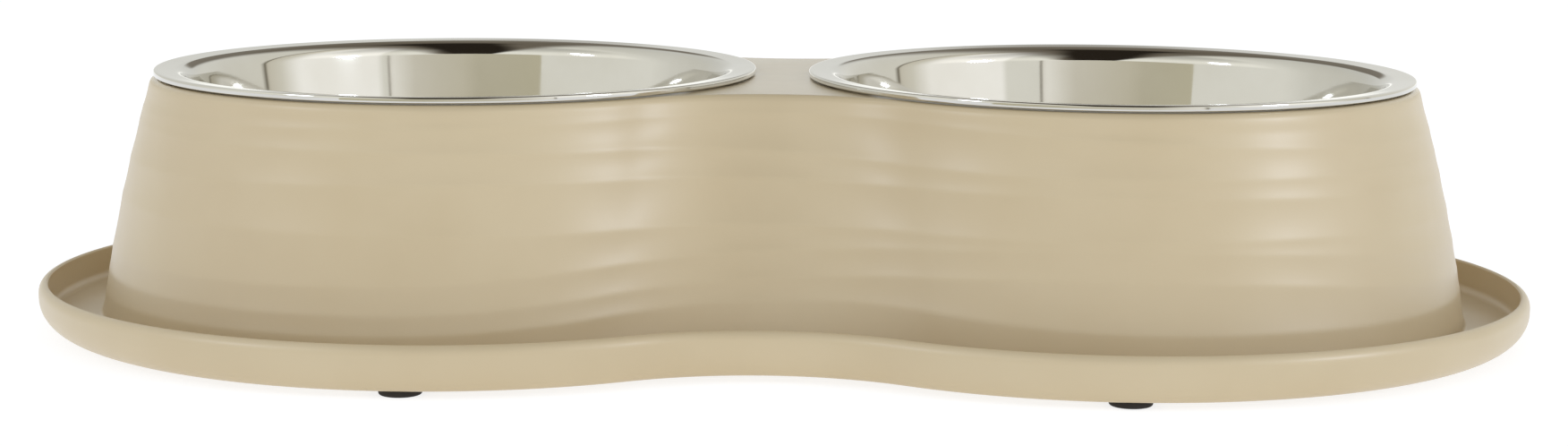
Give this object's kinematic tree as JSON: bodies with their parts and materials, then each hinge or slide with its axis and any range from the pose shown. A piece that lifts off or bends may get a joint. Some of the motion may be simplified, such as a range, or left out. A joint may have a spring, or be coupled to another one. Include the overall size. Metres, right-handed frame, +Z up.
{
  "type": "double pet bowl",
  "caption": "Figure-eight stand with a leaning rippled wall, a raised spill gutter at its foot and lift-out steel bowls hung by their flanges.",
  "frame": {"origin": "on the floor, under the middle of the stand", "axes": "+X along the length from bowl to bowl, +Y towards the back, +Z up"},
  "size_m": [0.3966, 0.214, 0.0687],
  "materials": {
    "stand_plastic": "satin beige moulding",
    "bowl_steel": "mirror-polished stainless steel",
    "foot_rubber": "dark brown rubber"
  },
  "bodies": {
    "stand_body": {"stand": "stand_plastic", "foot_front_left": "foot_rubber", "foot_front_right": "foot_rubber", "foot_back_left": "foot_rubber", "foot_back_right": "foot_rubber"},
    "left_bowl_body": {"bowl_left": "bowl_steel"},
    "right_bowl_body": {"bowl_right": "bowl_steel"}
  },
  "joints": [
    {"name": "bowl_left_lift", "type": "slide", "parent": "stand_body", "child": "left_bowl_body", "axis": [0, 0, 1], "range_m": [0, 0.06]},
    {"name": "bowl_right_lift", "type": "slide", "parent": "stand_body", "child": "right_bowl_body", "axis": [0, 0, 1], "range_m": [0, 0.06]}
  ]
}
